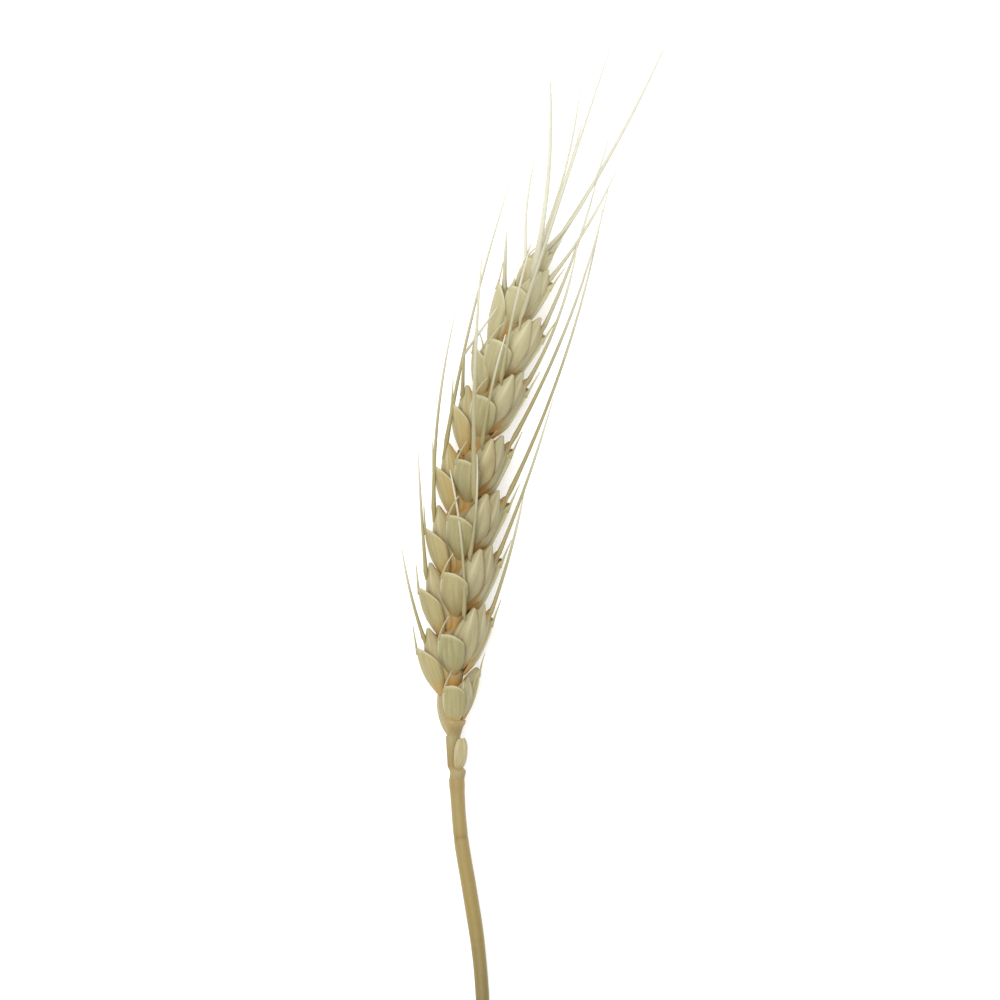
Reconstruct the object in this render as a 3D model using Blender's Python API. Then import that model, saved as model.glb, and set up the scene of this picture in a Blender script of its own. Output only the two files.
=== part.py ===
"""Dried bearded wheat ear, picked with a length of its straw and laid on a flat surface.

The ear lies along +Y with its straw towards -Y, its broad face up (+Z) and its underside on z = 0.
All sizes below are millimetres; `MM` turns them into the scene's metres. Places along the ear are
measured from the middle of the view that the ear was measured in, and `VIEW_MIDDLE` moves them so
that the bounding box stands centred on the origin.
"""
import math
import random
from dataclasses import dataclass

import bmesh
import bpy
import numpy as np
from mathutils import Vector

MM = 0.001
VIEW_MIDDLE = Vector((-5.2, 8.9, 0.0))
SEED = 7

# The line of the straw and the rachis, from the cut end to the tip of the ear.
CUT_END_Y = -90.0
COLLAR_Y = -44.6
EAR_AXIS_HEIGHT = 5.55
AXIS_POINTS = (
    (-2.55, CUT_END_Y, 1.07),
    (-2.80, -80.0, 1.50),
    (-3.52, -71.5, 2.12),
    (-4.88, -62.5, 2.95),
    (-6.28, -53.8, 4.00),
    (-6.95, COLLAR_Y, 4.95),
    (-7.25, -38.0, 5.50),
    (-7.50, -31.5, EAR_AXIS_HEIGHT),
    (-7.45, -25.5, EAR_AXIS_HEIGHT),
    (-7.10, -19.0, EAR_AXIS_HEIGHT),
    (-6.45, -12.0, EAR_AXIS_HEIGHT),
    (-5.65, -4.8, EAR_AXIS_HEIGHT),
    (-4.55, 3.2, EAR_AXIS_HEIGHT),
    (-3.00, 11.2, EAR_AXIS_HEIGHT),
    (-0.95, 19.2, EAR_AXIS_HEIGHT),
    (1.40, 27.2, EAR_AXIS_HEIGHT),
    (3.90, 33.6, EAR_AXIS_HEIGHT),
    (6.10, 39.2, EAR_AXIS_HEIGHT),
    (7.20, 42.4, EAR_AXIS_HEIGHT),
)

# Straw: its radius at heights along it, and the bead where the ear begins.
STRAW_HEIGHTS = (-90.0, -74.0, -67.0, -55.0, -50.0, -46.8)
STRAW_RADII = (1.07, 1.09, 1.18, 1.16, 1.12, 1.16)
COLLAR_RADIUS = 1.24
COLLAR_LENGTH = 2.2
STRAW_STEP = 4.0
STRAW_SIDES = 12
COLLAR_GAP = 0.2

# Rachis: each internode widens upwards and ends in a step that carries one spikelet.
RACHIS_FOOT_RADIUS = 1.18
INTERNODE_FOOT = (1.10, 0.85)
INTERNODE_HEAD = (1.25, 1.10)
INTERNODE_STEP = 0.9
RACHIS_ZIGZAG = 0.35
RACHIS_TURN = math.radians(40.0)
RACHIS_SIDES = 5
RACHIS_END = 3.0

# The two ranks of spikelets stand opposite each other: the turn of each about the rachis, from
# the right hand towards the top, and how widely its florets stand off.
RANK_TURN = {"right": math.radians(46.0), "left": math.radians(212.0)}
FLORET_SPREAD = {"right": 1.10, "left": 0.96}

# One full-size spikelet, as (up the ear, out from the rachis, sideways) from its foot.
GLUME_FOOT = (-0.4, 0.8, 1.0)
GLUME_TIP = (7.1, 3.5, 4.4)
GLUME_HALF_WIDTH = 2.3
GLUME_BACK = 1.25
GLUME_FRONT = 0.55
GLUME_BACK_TURN = math.radians(24.0)
GLUME_STATIONS = ((0.0, 0.34), (0.30, 0.88), (0.68, 0.98), (0.93, 0.56))
GLUME_SIDES = 6
BEAK_PLACE = 0.84
BEAK_RISE = 0.5
BEAK_LENGTH = 3.2
BEAK_LEAN = 0.5
BEAK_ROOT_RADIUS = 0.38
BEAK_TIP_RADIUS = 0.16
BEAK_SIDES = 3

FLORET_FOOT = (0.6, 0.9, 0.5)
FLORET_TIP = (10.2, 4.9, 2.9)
FLORET_HALF_WIDTH = 2.25
FLORET_BACK = 1.6
FLORET_FRONT = 1.2
FLORET_BACK_TURN = math.radians(38.0)
FLORET_STATIONS = ((0.05, 0.45), (0.45, 1.0), (0.92, 0.36))
FLORET_SIDES = 6

MIDDLE_FLORET_FOOT = (1.6, 1.5, 0.0)
MIDDLE_FLORET_TIP = (11.0, 5.4, 0.2)
MIDDLE_FLORET_SIZE = 1.08
MIDDLE_FLORET_STATIONS = ((0.0, 0.40), (0.50, 1.0), (0.93, 0.34))
MIDDLE_FLORET_SIDES = 5

BRACT_FOOT = (0.0, 0.6, 0.0)
BRACT_TIP = (7.0, 2.0, 0.0)
BRACT_HALF_WIDTH = 1.9
BRACT_BACK = 1.1
BRACT_FRONT = 0.6

AWN_ROOT_RADIUS = 0.36
AWN_TIP_RADIUS = 0.17
AWN_SIDES = 3
AWN_STEPS = 4
AWN_ROOT_SUNK = 0.22

SIZE_SCATTER = 0.04
TURN_SCATTER = math.radians(3.5)

STRAW_COLOUR = (0.42, 0.30, 0.12, 1.0)
CHAFF_COLOUR = (0.46, 0.42, 0.24, 1.0)
STRAW_ROUGHNESS = 0.45
CHAFF_ROUGHNESS = 0.55


@dataclass(frozen=True)
class Awn:
    """One bristle: where its tip lies, how far its middle bows to the right, and how it ends."""

    tip: tuple
    bow: float = 0.0
    kink: tuple = None
    tip_radius: float = AWN_TIP_RADIUS


@dataclass(frozen=True)
class Spikelet:
    """One spikelet: its rank, the height of its foot on the ear, its size and its two awns."""

    rank: str
    foot_y: float
    size: float
    spread: float = 1.0
    florets: bool = True
    upper_awn: Awn = None
    under_awn: Awn = None


# From the collar to the tip. The first two are the small sterile ones at the ear's base.
# upper_awn grows on the floret that faces up, under_awn on the one that faces the surface.
SPIKELETS = (
    Spikelet("right", -43.4, 0.80, 1.00, False),
    Spikelet("left", -37.8, 1.08, 1.00, False),
    Spikelet("right", -35.4, 0.80, 0.80),
    Spikelet("left", -30.6, 0.98, 0.92, True, Awn((-15.7, -7.7, 8.0), -0.4),
             Awn((-4.6, 7.0, 0.6), -0.5)),
    Spikelet("right", -27.4, 0.97, 1.08, True, Awn((-8.0, 4.8, 12.4), 0.8),
             Awn((4.0, 1.9, 7.5), 0.5)),
    Spikelet("left", -21.4, 1.02, 1.00, True, Awn((-13.1, 7.5, 7.5), -0.1),
             Awn((-1.6, 19.0, 0.6), -0.5)),
    Spikelet("right", -18.0, 1.00, 1.08, True, Awn((-3.7, 7.2, 12.8), 0.5),
             Awn((8.5, 16.3, 8.5), 0.5)),
    Spikelet("left", -12.2, 1.02, 1.00, True, Awn((-7.2, 29.6, 9.0), -1.1),
             Awn((2.6, 31.0, 0.6), -0.5)),
    Spikelet("right", -9.0, 1.00, 1.10, True, Awn((-2.9, 38.4, 21.0), -0.6),
             Awn((16.4, 46.4, 8.0), 1.85)),
    Spikelet("left", -2.4, 1.02, 0.96, True, Awn((1.6, 50.7, 10.0), -0.9),
             Awn((8.2, 43.5, 0.8), -0.5)),
    Spikelet("right", 0.2, 1.02, 1.00, True, Awn((0.9, 26.4, 12.6), -0.4),
             Awn((17.3, 49.6, 9.5), 1.75)),
    Spikelet("left", 7.4, 1.02, 0.80, True, Awn((-0.5, 30.7, 9.0), 0.0, (-5.8, 23.2, 8.6)),
             Awn((9.8, 49.0, 1.2), 0.3)),
    Spikelet("right", 10.6, 1.00, 1.02, True, Awn((5.0, 41.0, 13.4), -0.4),
             Awn((12.3, 40.3, 7.5), 1.2)),
    Spikelet("left", 16.6, 0.94, 0.66, True, Awn((-3.6, 27.4, 8.0), 0.2),
             Awn((11.9, 55.5, 2.0), 0.8)),
    Spikelet("right", 19.4, 0.98, 1.00, True, Awn((17.6, 72.2, 13.0), 0.0),
             Awn((15.5, 51.2, 6.0), 0.7)),
    Spikelet("left", 25.2, 0.92, 0.52, True, Awn((1.1, 42.9, 8.0), -0.1, None, 0.24),
             Awn((12.8, 65.6, 3.5), 1.8)),
    Spikelet("right", 28.4, 0.94, 0.66, True, Awn((8.0, 66.4, 21.0), 1.1),
             Awn((18.6, 52.8, 6.5), 0.8)),
    Spikelet("left", 32.0, 0.88, 0.16, True, Awn((5.6, 54.4, 7.5), -0.9),
             Awn((13.2, 60.4, 4.0), 0.4)),
    Spikelet("right", 33.8, 0.80, 0.32, True, Awn((17.3, 57.6, 10.0), 1.7),
             Awn((26.1, 72.0, 6.5), 1.0)),
)


def smooth_line(points, place):
    """Point on the smooth curve through `points` whose second coordinate is `place`."""
    last = len(points) - 2
    index = next((i for i in range(last) if place < points[i + 1][1]), last)
    low, high = Vector(points[index]), Vector(points[index + 1])
    before = Vector(points[index - 1]) if index else low * 2.0 - high
    after = Vector(points[index + 2]) if index < last else high * 2.0 - low
    share = (place - low.y) / (high.y - low.y)
    span = high.y - low.y
    slope_low = (high - before) / (high.y - before.y) * span
    slope_high = (after - low) / (after.y - low.y) * span
    cube, square = share ** 3, share ** 2
    return (low * (2.0 * cube - 3.0 * square + 1.0) + slope_low * (cube - 2.0 * square + share)
            + high * (3.0 * square - 2.0 * cube) + slope_high * (cube - square))


def axis_at(y):
    """Place of the ear's axis at height `y`, with its direction and its rightward direction."""
    reach = 0.5
    here = smooth_line(AXIS_POINTS, y)
    along = (smooth_line(AXIS_POINTS, y + reach) - smooth_line(AXIS_POINTS, y - reach)).normalized()
    right = along.cross(Vector((0.0, 0.0, 1.0))).normalized()
    return here, along, right


def material(name, colour, roughness):
    """A plain dry surface of one colour."""
    made = bpy.data.materials.new(name)
    made.use_nodes = True
    shader = made.node_tree.nodes["Principled BSDF"]
    shader.inputs["Base Color"].default_value = colour
    shader.inputs["Roughness"].default_value = roughness
    shader.inputs["Metallic"].default_value = 0.0
    return made


def loft(name, rings, foot, tip):
    """Closed solid through `rings` of points, drawn to a point at each end."""
    mesh = bmesh.new()
    rows = [[mesh.verts.new(point * MM) for point in ring] for ring in rings]
    sides = len(rings[0])
    for lower, upper in zip(rows, rows[1:]):
        for side in range(sides):
            following = (side + 1) % sides
            mesh.faces.new((lower[side], lower[following], upper[following], upper[side]))
    for row, point in ((rows[0], foot), (rows[-1], tip)):
        end = mesh.verts.new(point * MM)
        for side in range(sides):
            mesh.faces.new((row[side], row[(side + 1) % sides], end))
    bmesh.ops.triangulate(mesh, faces=mesh.faces[:])
    bmesh.ops.recalc_face_normals(mesh, faces=mesh.faces[:])
    data = bpy.data.meshes.new(name)
    mesh.to_mesh(data)
    mesh.free()
    made = bpy.data.objects.new(name, data)
    bpy.context.scene.collection.objects.link(made)
    return made


def ring(centre, across, out, half_width, back, front, sides):
    """Points round an oval section, deeper on its back than on its front."""
    points = []
    for side in range(sides):
        angle = math.tau * (side + 0.5) / sides
        depth = back if math.sin(angle) > 0.0 else front
        points.append(centre + across * half_width * math.cos(angle) + out * depth * math.sin(angle))
    return points


def husk(name, foot, tip, out, half_width, back, front, stations, sides):
    """Boat-shaped husk from `foot` to `tip`, swelling towards `out`."""
    line = tip - foot
    across = line.cross(out).normalized()
    out = across.cross(line).normalized()
    rings = []
    for share, fullness in stations:
        centre = foot + line * share
        rings.append(ring(centre, across, out, half_width * fullness, back * fullness,
                          front * fullness, sides))
    return loft(name, rings, foot - line * 0.03, tip)


def needle(name, path, root_radius, tip_radius, sides):
    """Tapering bristle along the points of `path`."""
    rings = []
    last = len(path) - 1
    for index, centre in enumerate(path):
        along = (path[min(index + 1, last)] - path[max(index - 1, 0)]).normalized()
        across = along.cross(Vector((0.0, 0.0, 1.0))).normalized()
        out = across.cross(along)
        radius = root_radius + (tip_radius - root_radius) * index / last
        rings.append(ring(centre, across, out, radius, radius, radius, sides))
    lead = (path[1] - path[0]).normalized() * root_radius * 0.5
    trail = (path[-1] - path[-2]).normalized() * tip_radius * 1.5
    return loft(name, rings, path[0] - lead, path[-1] + trail)


def awn_path(start, awn):
    """Points of a bristle from `start` to its tip, bowed sideways or bent at its kink."""
    tip = Vector(awn.tip)
    if awn.kink:
        return [start, start.lerp(Vector(awn.kink), 0.5), Vector(awn.kink),
                Vector(awn.kink).lerp(tip, 0.5), tip]
    chord = tip - start
    sideways = chord.cross(Vector((0.0, 0.0, 1.0))).normalized() * awn.bow
    path = []
    for step in range(AWN_STEPS + 1):
        share = step / AWN_STEPS
        path.append(start + chord * share + sideways * 4.0 * share * (1.0 - share))
    return path


class Foot:
    """Where a spikelet stands on the rachis, with the directions that its pieces are laid out in."""

    def __init__(self, spikelet, scatter):
        middle, self.along, right = axis_at(spikelet.foot_y)
        above = right.cross(self.along)
        turn = RANK_TURN[spikelet.rank] + scatter.uniform(-TURN_SCATTER, TURN_SCATTER)
        self.size = spikelet.size * (1.0 + scatter.uniform(-SIZE_SCATTER, SIZE_SCATTER))
        self.spread = spikelet.spread
        self.out = right * math.cos(turn) + above * math.sin(turn)
        side = self.along.cross(self.out)
        self.upper_side = side if side.z > 0.0 else -side
        self.middle = middle

    def place(self, offset, flip=1.0, spread=1.0):
        """Point at an offset of (up the ear, out, sideways) from the foot."""
        up, out, sideways = offset
        fan = self.out * out + self.upper_side * sideways * flip
        return self.middle + (self.along * up + fan * self.spread * spread) * self.size

    def facing(self, turn, flip):
        """Direction that a husk's back faces: sideways, turned outwards by `turn`."""
        return self.upper_side * flip * math.cos(turn) + self.out * math.sin(turn)


def build_spikelet(index, spikelet, scatter):
    """The husks and bristles of one spikelet, as overlapping closed solids."""
    foot = Foot(spikelet, scatter)
    size = foot.size
    pieces = []
    if not spikelet.florets:
        return [husk(f"bract_{index:02d}", foot.place(BRACT_FOOT), foot.place(BRACT_TIP), foot.out,
                     BRACT_HALF_WIDTH * size, BRACT_BACK * size, BRACT_FRONT * size,
                     GLUME_STATIONS, GLUME_SIDES)]
    for flip, awn in ((1.0, spikelet.upper_awn), (-1.0, spikelet.under_awn)):
        label = f"{index:02d}_{'upper' if flip > 0 else 'under'}"
        back = foot.facing(GLUME_BACK_TURN, flip)
        glume_foot, glume_tip = foot.place(GLUME_FOOT, flip), foot.place(GLUME_TIP, flip)
        pieces.append(husk(f"glume_{label}", glume_foot, glume_tip, back, GLUME_HALF_WIDTH * size,
                           GLUME_BACK * size, GLUME_FRONT * size, GLUME_STATIONS, GLUME_SIDES))
        root = glume_foot.lerp(glume_tip, BEAK_PLACE) + back * GLUME_BACK * BEAK_RISE * size
        lean = (glume_tip - glume_foot).normalized() * BEAK_LEAN
        beak = [root, root + (foot.along + lean).normalized() * BEAK_LENGTH * size]
        pieces.append(needle(f"beak_{label}", beak, BEAK_ROOT_RADIUS * size,
                             BEAK_TIP_RADIUS, BEAK_SIDES))
        back = foot.facing(FLORET_BACK_TURN, flip)
        floret_foot = foot.place(FLORET_FOOT, flip)
        floret_tip = foot.place(FLORET_TIP, flip, FLORET_SPREAD[spikelet.rank])
        pieces.append(husk(f"floret_{label}", floret_foot, floret_tip, back,
                           FLORET_HALF_WIDTH * size, FLORET_BACK * size, FLORET_FRONT * size,
                           FLORET_STATIONS, FLORET_SIDES))
        if awn:
            start = floret_tip.lerp(floret_foot, AWN_ROOT_SUNK)
            pieces.append(needle(f"awn_{label}", awn_path(start, awn), AWN_ROOT_RADIUS,
                                 awn.tip_radius, AWN_SIDES))
    middle = MIDDLE_FLORET_SIZE * size
    pieces.append(husk(f"floret_{index:02d}_middle", foot.place(MIDDLE_FLORET_FOOT),
                       foot.place(MIDDLE_FLORET_TIP), foot.out, FLORET_HALF_WIDTH * middle,
                       FLORET_BACK * middle, FLORET_FRONT * middle, MIDDLE_FLORET_STATIONS,
                       MIDDLE_FLORET_SIDES))
    return pieces


def build_rachis():
    """The ear's jointed stalk, a zigzag of internodes that each widen up to a spikelet's foot."""
    def section(y, shift, half_width, half_depth):
        """Oval ring of the rachis, moved out towards the rank that it carries."""
        here, along, right = axis_at(y)
        out = right * math.cos(RACHIS_TURN) + right.cross(along) * math.sin(RACHIS_TURN)
        return ring(here + out * shift, along.cross(out), out, half_width, half_depth, half_depth,
                    RACHIS_SIDES)

    foot_y = COLLAR_Y + COLLAR_GAP
    rings = [section(foot_y, 0.0, RACHIS_FOOT_RADIUS, RACHIS_FOOT_RADIUS)]
    for spikelet in SPIKELETS:
        shift = RACHIS_ZIGZAG if spikelet.rank == "right" else -RACHIS_ZIGZAG
        rings.append(section(spikelet.foot_y, shift, *INTERNODE_HEAD))
        rings.append(section(spikelet.foot_y + INTERNODE_STEP, -shift, *INTERNODE_FOOT))
    foot, _, _ = axis_at(foot_y)
    end, _, _ = axis_at(SPIKELETS[-1].foot_y + RACHIS_END)
    return loft("head", rings, foot, end)


def build_straw():
    """The straw from its cut end up to the bead under the ear."""
    rings = []
    steps = round((COLLAR_Y - CUT_END_Y) / STRAW_STEP)
    heights = [CUT_END_Y + (COLLAR_Y - COLLAR_LENGTH - CUT_END_Y) * step / steps
               for step in range(steps + 1)]
    heights += [COLLAR_Y - COLLAR_LENGTH * 0.4, COLLAR_Y - 0.1]
    for y in heights:
        here, along, right = axis_at(y)
        in_bead = y > COLLAR_Y - COLLAR_LENGTH * 0.9
        radius = COLLAR_RADIUS if in_bead else float(np.interp(y, STRAW_HEIGHTS, STRAW_RADII))
        rings.append(ring(here, right, right.cross(along), radius, radius, radius, STRAW_SIDES))
    foot, _, _ = axis_at(CUT_END_Y)
    top, _, _ = axis_at(COLLAR_Y)
    return loft("stem", rings, foot, top)


def fuse(body, pieces):
    """Join `pieces` to `body` in one closed solid and remove them."""
    group = bpy.data.collections.new("pieces")
    bpy.context.scene.collection.children.link(group)
    for piece in pieces:
        bpy.context.scene.collection.objects.unlink(piece)
        group.objects.link(piece)
    union = body.modifiers.new("fuse", "BOOLEAN")
    union.operation = "UNION"
    union.operand_type = "COLLECTION"
    union.collection = group
    union.solver = "MANIFOLD"
    apply_modifier(body, union)
    for piece in pieces:
        bpy.data.objects.remove(piece)
    bpy.data.collections.remove(group)


def apply_modifier(body, modifier):
    """Make a modifier's result the body's own mesh."""
    bpy.context.view_layer.objects.active = body
    bpy.ops.object.modifier_apply(modifier=modifier.name)


def fill_hollows(body):
    """Remove the closed hollows that husks lying over each other leave inside the head."""
    mesh = bmesh.new()
    mesh.from_mesh(body.data)
    hollows = []
    for first in mesh.faces:
        if first.tag:
            continue
        first.tag = True
        shell = [first]
        for face in shell:
            for beside in (near for edge in face.edges for near in edge.link_faces if not near.tag):
                beside.tag = True
                shell.append(beside)
        if sum(face.normal.dot(face.calc_center_median()) * face.calc_area() for face in shell) < 0.0:
            hollows.extend(shell)
    bmesh.ops.delete(mesh, geom=hollows, context="FACES")
    mesh.to_mesh(body.data)
    mesh.free()


def flatten_underside(body):
    """Cut off what would reach below the surface, which leaves small flat spots to lie on."""
    bpy.ops.mesh.primitive_cube_add(size=1.0, location=(0.0, 0.0, -0.05))
    cutter = bpy.context.object
    cutter.scale = (0.4, 0.4, 0.1)
    bpy.context.view_layer.update()
    cut = body.modifiers.new("flatten", "BOOLEAN")
    cut.operation = "DIFFERENCE"
    cut.object = cutter
    cut.solver = "MANIFOLD"
    apply_modifier(body, cut)
    bpy.data.objects.remove(cutter)


def main():
    """Build the straw and the head, each as one closed solid."""
    for old in list(bpy.data.objects):
        bpy.data.objects.remove(old)
    scatter = random.Random(SEED)
    stem = build_straw()
    head = build_rachis()
    pieces = []
    for index, spikelet in enumerate(SPIKELETS, start=1):
        pieces.extend(build_spikelet(index, spikelet, scatter))
    fuse(head, pieces)
    fill_hollows(head)
    flatten_underside(head)
    flatten_underside(stem)
    straw = material("straw", STRAW_COLOUR, STRAW_ROUGHNESS)
    chaff = material("chaff", CHAFF_COLOUR, CHAFF_ROUGHNESS)
    for made, finish in ((stem, straw), (head, chaff)):
        made.data.materials.clear()
        made.data.materials.append(finish)
        made.location = VIEW_MIDDLE * MM


main()
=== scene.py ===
"""Dried bearded wheat ear, picked with a length of its straw and laid on a pale surface.

The ear lies along +Y with its straw towards -Y and its underside on z = 0. Sizes are millimetres
measured from the middle of the view; `MM` and `VIEW_MIDDLE` turn them into the scene's metres.
"""

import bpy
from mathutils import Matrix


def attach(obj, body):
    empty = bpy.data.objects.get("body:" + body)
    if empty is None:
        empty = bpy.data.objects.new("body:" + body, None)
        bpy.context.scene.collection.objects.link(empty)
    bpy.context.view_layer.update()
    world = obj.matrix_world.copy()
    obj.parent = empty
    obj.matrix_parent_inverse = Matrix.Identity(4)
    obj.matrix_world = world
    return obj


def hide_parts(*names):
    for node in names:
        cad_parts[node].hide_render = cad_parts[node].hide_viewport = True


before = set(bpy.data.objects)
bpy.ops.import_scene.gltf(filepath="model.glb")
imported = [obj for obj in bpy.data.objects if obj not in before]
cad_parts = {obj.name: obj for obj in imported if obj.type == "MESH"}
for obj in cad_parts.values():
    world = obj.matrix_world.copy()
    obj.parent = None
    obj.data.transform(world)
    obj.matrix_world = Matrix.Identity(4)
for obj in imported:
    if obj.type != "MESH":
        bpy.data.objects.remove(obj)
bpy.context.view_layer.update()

import logging
import math
import random
from dataclasses import dataclass, field, replace
from enum import Enum

import bpy
import numpy as np
from mathutils import Vector

MM = 0.001
VIEW_MIDDLE = np.array((-5.2, 8.9, 0.0))
VIEW_WIDTH = 160.0
BODY = "root"
UP = np.array((0.0, 0.0, 1.0))
FLOOR_GAP = 0.02

Array = np.ndarray
Colour = tuple[float, float, float, float]


def srgb(red: int, green: int, blue: int) -> Colour:
    """Linear colour of an 8-bit sRGB colour.

    Args:
        red: red from 0 to 255.
        green: green from 0 to 255.
        blue: blue from 0 to 255.

    Returns:
        Linear red, green, blue and full alpha.
    """
    parts = (value / 255.0 for value in (red, green, blue))
    linear = [v / 12.92 if v <= 0.04045 else ((v + 0.055) / 1.055) ** 2.4 for v in parts]
    return (linear[0], linear[1], linear[2], 1.0)


def unit(vector: Array) -> Array:
    """The vector at length one."""
    return vector / np.linalg.norm(vector)


def smooth_step(values: Array | float, low: float, high: float) -> Array:
    """0 below `low`, 1 above `high` and an even rise between them.

    Args:
        values: a number or numbers.
        low: where the rise begins.
        high: where it ends.

    Returns:
        The share of the rise at each value.
    """
    share = np.clip((values - low) / (high - low), 0.0, 1.0)
    return share * share * (3.0 - 2.0 * share)


def turns(sides: int, start: float = 0.0) -> Array:
    """Angles of points spread evenly round a circle, the first `start` steps on."""
    return (np.arange(sides) + start) * math.tau / sides


def oval(middle: Array, across: Array, out: Array, width: Array, depth: Array, angles: Array) -> Array:
    """Points at `angles` round ovals, half `width` by half `depth`, lying along `across` and `out`.

    Args:
        middle: middle of each oval.
        across: its first direction.
        out: its second direction.
        width: half its size along the first direction.
        depth: half its size along the second direction.
        angles: angles of its points.

    Returns:
        The points, with x, y and z last.
    """
    return (middle + across * (width * np.cos(angles))[..., None]
            + out * (depth * np.sin(angles))[..., None])


class Socket:
    """A number in a shader, on which plain arithmetic adds Math nodes."""

    def __init__(self, tree: "ShaderTree", output: bpy.types.NodeSocket) -> None:
        """Wrap an output of one of the tree's nodes."""
        self.tree = tree
        self.output = output

    def math(self, operation: str, other: object, reflected: bool = False) -> "Socket":
        """Result of a Math node on this value and another one, which comes first if reflected.

        Args:
            operation: Blender's name of the operation.
            other: the second value.
            reflected: whether the other value comes first.

        Returns:
            The result.
        """
        first, second = (other, self) if reflected else (self, other)
        return self.tree.node("ShaderNodeMath", {"operation": operation}, {0: first, 1: second})

    def __add__(self, other: object) -> "Socket":
        """This value plus another."""
        return self.math("ADD", other)

    def __radd__(self, other: object) -> "Socket":
        """Another value plus this one."""
        return self.math("ADD", other, True)

    def __sub__(self, other: object) -> "Socket":
        """This value minus another."""
        return self.math("SUBTRACT", other)

    def __rsub__(self, other: object) -> "Socket":
        """Another value minus this one."""
        return self.math("SUBTRACT", other, True)

    def __mul__(self, other: object) -> "Socket":
        """This value times another."""
        return self.math("MULTIPLY", other)

    def __rmul__(self, other: object) -> "Socket":
        """Another value times this one."""
        return self.math("MULTIPLY", other, True)

    def __pow__(self, other: object) -> "Socket":
        """This value to the power of another."""
        return self.math("POWER", other)

    def sine(self) -> "Socket":
        """Sine of the value, in radians."""
        return self.math("SINE", 0.0)

    def clamped(self) -> "Socket":
        """The value held between 0 and 1."""
        return self.tree.node("ShaderNodeClamp", {}, {"Value": self})

    def rise(self, low: float, high: float) -> "Socket":
        """0 at `low` and 1 at `high`, smoothly, held outside them.

        Args:
            low: value at which it leaves 0.
            high: value at which it reaches 1.

        Returns:
            The share of the rise.
        """
        return self.tree.node("ShaderNodeMapRange", {"interpolation_type": "SMOOTHSTEP"},
                              {"Value": self, "From Min": low, "From Max": high})


class ShaderTree:
    """The nodes of one material round its Principled shader."""

    def __init__(self, name: str) -> None:
        """Start a material.

        Args:
            name: the material's name.
        """
        self.material = bpy.data.materials.new(name)
        self.material.use_nodes = True
        self.nodes = self.material.node_tree.nodes
        self.links = self.material.node_tree.links
        self.surface = self.nodes["Principled BSDF"]

    def feed(self, target: bpy.types.NodeSocket, value: object) -> None:
        """Set a socket to a number or colour, or link a shader value to it.

        Args:
            target: input of a node.
            value: number, colour or shader value.
        """
        if isinstance(value, Socket):
            self.links.new(value.output, target)
        else:
            target.default_value = value

    def node(self, kind: str, settings: dict, sockets: dict, output: object = 0) -> Socket:
        """Add a node.

        Args:
            kind: Blender's type of node.
            settings: the node's own properties; "stops" gives a ramp's places and colours.
            sockets: values or links of its inputs, by name or number.
            output: name or number of the output to return.

        Returns:
            The chosen output.
        """
        made = self.nodes.new(kind)
        for name, value in settings.items():
            if name == "stops":
                self._set_stops(made.color_ramp, value)
            else:
                setattr(made, name, value)
        for name, value in sockets.items():
            self.feed(made.inputs[name], value)
        return Socket(self, made.outputs[output])

    @staticmethod
    def _set_stops(ramp: bpy.types.ColorRamp, stops: tuple) -> None:
        """Put (place, colour) stops on a ramp.

        Args:
            ramp: colour ramp of a node.
            stops: its (place, colour) pairs.
        """
        while len(ramp.elements) < len(stops):
            ramp.elements.new(0.5)
        for element, (place, colour) in zip(ramp.elements, stops):
            element.position = place
            element.color = colour

    def channel(self, name: str) -> Socket:
        """A value that the mesh carries at its points."""
        return self.node("ShaderNodeAttribute", {"attribute_name": name}, {}, "Fac")

    def vector(self, x: object, y: object, z: object) -> Socket:
        """Vector of three values."""
        return self.node("ShaderNodeCombineXYZ", {}, {0: x, 1: y, 2: z})

    def noise(self, place: Socket, scale: float, detail: float = 2.0) -> Socket:
        """Cloudy value round one half."""
        return self.node("ShaderNodeTexNoise", {}, {"Vector": place, "Scale": scale, "Detail": detail})

    def mix(self, share: object, first: object, second: object) -> Socket:
        """Blend of two colours."""
        return self.node("ShaderNodeMix", {"data_type": "RGBA"}, {0: share, 6: first, 7: second}, 2)

    def ramp(self, value: Socket, stops: tuple) -> Socket:
        """Colour from (place, colour) stops."""
        return self.node("ShaderNodeValToRGB", {"stops": stops}, {"Fac": value}, "Color")

    def finish(self, colour: Socket, height: Socket, depth: float, roughness: object,
               specular: float) -> bpy.types.Material:
        """Join the colour, relief and gloss to the surface.

        Args:
            colour: base colour.
            height: relief from 0 to 1.
            depth: depth of the relief in millimetres.
            roughness: roughness, a number or a shader value.
            specular: strength of the gloss.

        Returns:
            The finished material.
        """
        relief = self.node("ShaderNodeBump", {}, {"Strength": 1.0, "Distance": depth * MM,
                                                  "Height": height}, "Normal")
        self.feed(self.surface.inputs["Base Color"], colour)
        self.feed(self.surface.inputs["Normal"], relief)
        self.feed(self.surface.inputs["Roughness"], roughness)
        self.surface.inputs["Specular IOR Level"].default_value = specular
        return self.material


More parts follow.
